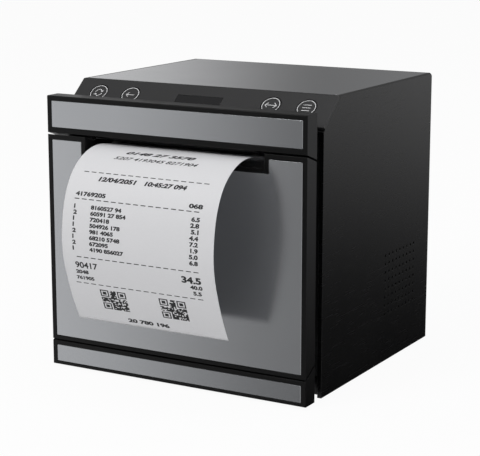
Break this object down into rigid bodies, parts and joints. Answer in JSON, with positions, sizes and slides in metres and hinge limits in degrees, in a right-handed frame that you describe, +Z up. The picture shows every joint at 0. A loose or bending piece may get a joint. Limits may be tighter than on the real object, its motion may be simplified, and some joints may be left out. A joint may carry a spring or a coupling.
{
  "type": "ticket printer",
  "caption": "Cube-shaped countertop ticket printer: black case, mirror front panels, drop-down front door, paper slot with a hanging ticket, sloping key strip.",
  "frame": {"origin": "on the counter, under the middle of the overall box, hanging ticket included", "axes": "+Z up, +Y towards the back of the case, +X towards its right side seen from the front"},
  "size_m": [0.138, 0.1658, 0.138],
  "materials": {
    "case_plastic": "fine spark texture, black",
    "front_frame_plastic": "satin black",
    "mirror_panel": "polished smoke grey, half mirror",
    "strip_plastic": "satin charcoal",
    "key_plastic": "satin charcoal with a light ring and sign",
    "smoked_lens": "smoked, glossy",
    "inner_plastic": "dark grey moulding",
    "rubber": "soft black",
    "thermal_paper": "smooth white",
    "core_board": "grey brown",
    "blade_steel": "ground",
    "plated_steel": "zinc plated",
    "screw_steel": "black zinc",
    "sink_aluminium": "milled",
    "head_ceramic": "glazed strip",
    "gear_plastic": "natural acetal",
    "circuit_board": "green solder mask",
    "port_metal": "tinned shield",
    "motor_can": "nickel plated"
  },
  "bodies": {
    "case": {"base_tray": "case_plastic", "rubber_feet": "rubber", "case_shell": "case_plastic", "top_panel": "mirror_panel", "rear_panel": "case_plastic", "case_screws": "screw_steel", "control_strip": "strip_plastic", "display_lens": "smoked_lens", "display_module": "inner_plastic", "key_board": "circuit_board", "tact_switches": "inner_plastic", "front_bulkhead": "front_frame_plastic", "top_bar_frame": "front_frame_plastic", "top_bar_panel": "mirror_panel", "bottom_bar_frame": "front_frame_plastic", "bottom_bar_panel": "mirror_panel", "hinge_pins": "blade_steel", "paper_bay": "inner_plastic", "mechanism_frame": "inner_plastic", "feed_motor": "motor_can", "cutter_frame": "inner_plastic", "cutter_motor": "motor_can", "paper_web": "thermal_paper", "main_board": "circuit_board", "power_jack": "inner_plastic", "usb_port": "port_metal", "network_port": "port_metal", "drawer_port": "inner_plastic", "switch_body": "inner_plastic", "speaker": "inner_plastic", "head_springs": "plated_steel"},
    "print_head": {"head_plate": "head_ceramic", "head_heat_sink": "sink_aluminium"},
    "front_door": {"door_frame": "front_frame_plastic", "door_panel": "mirror_panel", "door_liner": "inner_plastic", "door_screws": "screw_steel", "hinge_arms": "plated_steel", "fixed_blade": "blade_steel", "platen_bushes": "inner_plastic", "ticket": "thermal_paper"},
    "platen": {"platen_shaft": "blade_steel", "platen_rubber": "rubber", "platen_gear": "gear_plastic"},
    "feed_idler": {"idler_gear": "gear_plastic"},
    "feed_pinion": {"motor_pinion": "gear_plastic"},
    "paper_supply": {"paper_roll": "thermal_paper", "roll_core": "core_board"},
    "cutter_slide": {"moving_blade": "blade_steel"},
    "cutter_gear": {"cutter_pinion": "gear_plastic"},
    "power_switch": {"power_rocker": "inner_plastic"},
    "cycle_key_body": {"cycle_key": "key_plastic"},
    "back_key_body": {"back_key": "key_plastic"},
    "swap_key_body": {"swap_key": "key_plastic"},
    "menu_key_body": {"menu_key": "key_plastic"}
  },
  "joints": [
    {"name": "door_hinge", "type": "hinge", "parent": "case", "child": "front_door", "pos_m": [0, -0.04728, 0.0058], "axis": [1, 0, 0], "range_deg": [0, 85], "deforming": ["ticket", "paper_web"]},
    {"name": "platen_spin", "type": "hinge", "parent": "front_door", "child": "platen", "pos_m": [0, -0.02548, 0.1041], "axis": [1, 0, 0], "continuous": true},
    {"name": "idler_spin", "type": "hinge", "parent": "case", "child": "feed_idler", "pos_m": [-0.048, -0.00885, 0.10057], "axis": [1, 0, 0], "continuous": true},
    {"name": "pinion_spin", "type": "hinge", "parent": "case", "child": "feed_pinion", "pos_m": [-0.045, 0.0069, 0.10334], "axis": [1, 0, 0], "continuous": true},
    {"name": "roll_spin", "type": "hinge", "parent": "case", "child": "paper_supply", "pos_m": [0, 0.02352, 0.0459], "axis": [1, 0, 0], "continuous": true},
    {"name": "head_pivot", "type": "hinge", "parent": "case", "child": "print_head", "pos_m": [0, -0.02072, 0.11801], "axis": [1, 0, 0], "range_deg": [0, 2], "stiffness_Nm_per_rad": 2, "springref_deg": -8.59, "deforming": ["head_springs"]},
    {"name": "cutter_travel", "type": "slide", "parent": "case", "child": "cutter_slide", "axis": [0, 0, -1], "range_m": [0, 0.0036]},
    {"name": "cutter_pinion_spin", "type": "hinge", "parent": "case", "child": "cutter_gear", "pos_m": [0.0505, -0.03678, 0.1136], "axis": [0, 1, 0], "range_deg": [-60, 60]},
    {"name": "power_rocker_tilt", "type": "hinge", "parent": "case", "child": "power_switch", "pos_m": [-0.052, 0.07752, 0.0276], "axis": [1, 0, 0], "range_deg": [-16, 0]},
    {"name": "cycle_key_press", "type": "slide", "parent": "case", "child": "cycle_key_body", "axis": [0, 0.6487, -0.7611], "range_m": [0, 0.0008], "stiffness_N_per_m": 600, "springref_m": -0.0008},
    {"name": "back_key_press", "type": "slide", "parent": "case", "child": "back_key_body", "axis": [0, 0.6487, -0.7611], "range_m": [0, 0.0008], "stiffness_N_per_m": 600, "springref_m": -0.0008},
    {"name": "swap_key_press", "type": "slide", "parent": "case", "child": "swap_key_body", "axis": [0, 0.6487, -0.7611], "range_m": [0, 0.0008], "stiffness_N_per_m": 600, "springref_m": -0.0008},
    {"name": "menu_key_press", "type": "slide", "parent": "case", "child": "menu_key_body", "axis": [0, 0.6487, -0.7611], "range_m": [0, 0.0008], "stiffness_N_per_m": 600, "springref_m": -0.0008}
  ],
  "couplings": [
    {"joint": "idler_spin", "follows": "platen_spin", "ratio": -0.36},
    {"joint": "pinion_spin", "follows": "platen_spin", "ratio": 1.2857},
    {"joint": "cutter_pinion_spin", "follows": "cutter_travel", "rad_per_m": -250}
  ]
}
